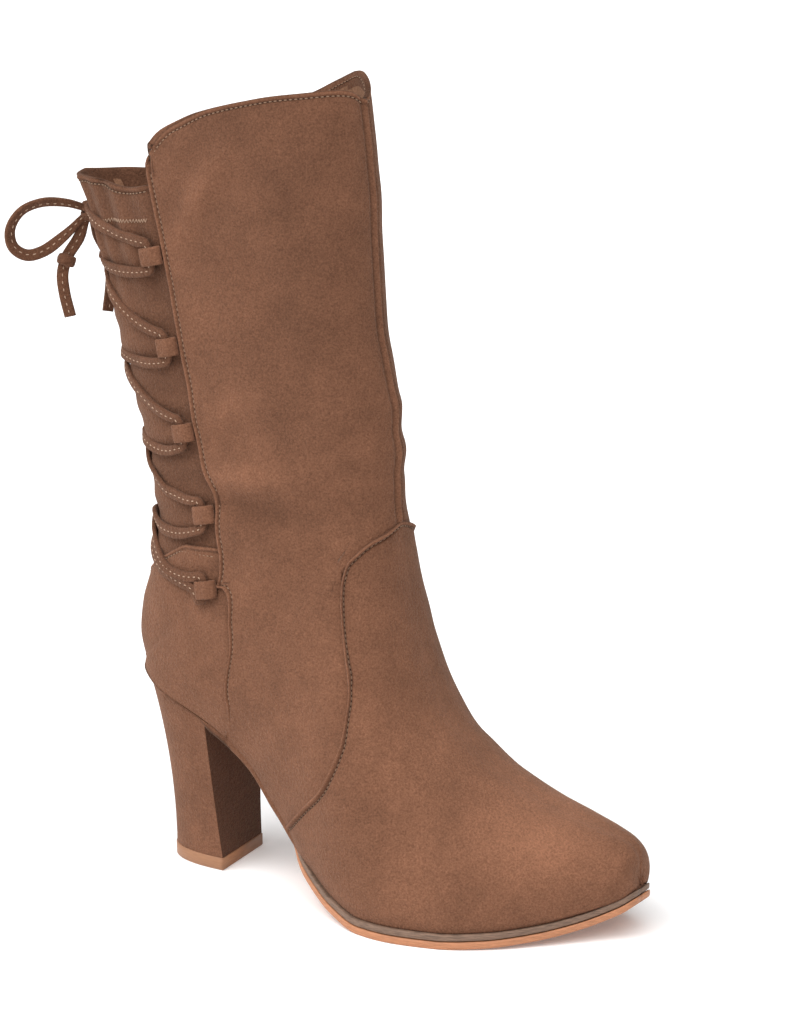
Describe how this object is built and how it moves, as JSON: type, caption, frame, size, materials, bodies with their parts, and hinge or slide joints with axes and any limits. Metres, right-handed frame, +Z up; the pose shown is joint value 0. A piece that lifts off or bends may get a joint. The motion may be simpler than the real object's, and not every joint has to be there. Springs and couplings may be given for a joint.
{
  "type": "back-lace ankle boot",
  "caption": "Suede ankle boot with an almond toe and block heel, back elastic gusset with criss-cross lacing through side loops, and a bow at the collar. Right shoe.",
  "frame": {"origin": "middle of the heel top piece's underside, on the floor", "axes": "+X toward the toe, +Y toward the inner side of the foot, +Z up"},
  "size_m": [0.2855, 0.0916, 0.335],
  "materials": {
    "suede": "matt napped suede",
    "lace_suede": "matt flat suede lace",
    "heel_cover": "matt napped suede",
    "lining": "smooth lining cloth",
    "welt": "satin",
    "tan_sole": "satin"
  },
  "bodies": {
    "root": {"upper": "suede", "outsole": "tan_sole", "welt": "welt", "insole": "lining", "heel_block": "heel_cover", "heel_top_piece": "tan_sole", "lace_loop_outer_1": "suede", "lace_loop_inner_1": "suede", "lace_loop_outer_2": "suede", "lace_loop_inner_2": "suede", "lace_loop_outer_3": "suede", "lace_loop_inner_3": "suede", "lace_loop_outer_4": "suede", "lace_loop_inner_4": "suede", "lace_loop_outer_5": "suede", "lace_loop_inner_5": "suede", "lace_crossing_1": "lace_suede", "lace_crossing_2": "lace_suede", "lace_crossing_3": "lace_suede", "lace_crossing_4": "lace_suede", "lace_bottom_bar": "lace_suede", "lace_top_strands": "lace_suede", "bow_knot": "lace_suede", "bow_loop_outer": "lace_suede", "lace_end_outer_upper": "lace_suede", "lace_end_outer_lower": "lace_suede", "end_knot_outer": "lace_suede", "bow_loop_inner": "lace_suede", "lace_end_inner_upper": "lace_suede", "lace_end_inner_lower": "lace_suede", "end_knot_inner": "lace_suede"}
  },
  "joints": []
}
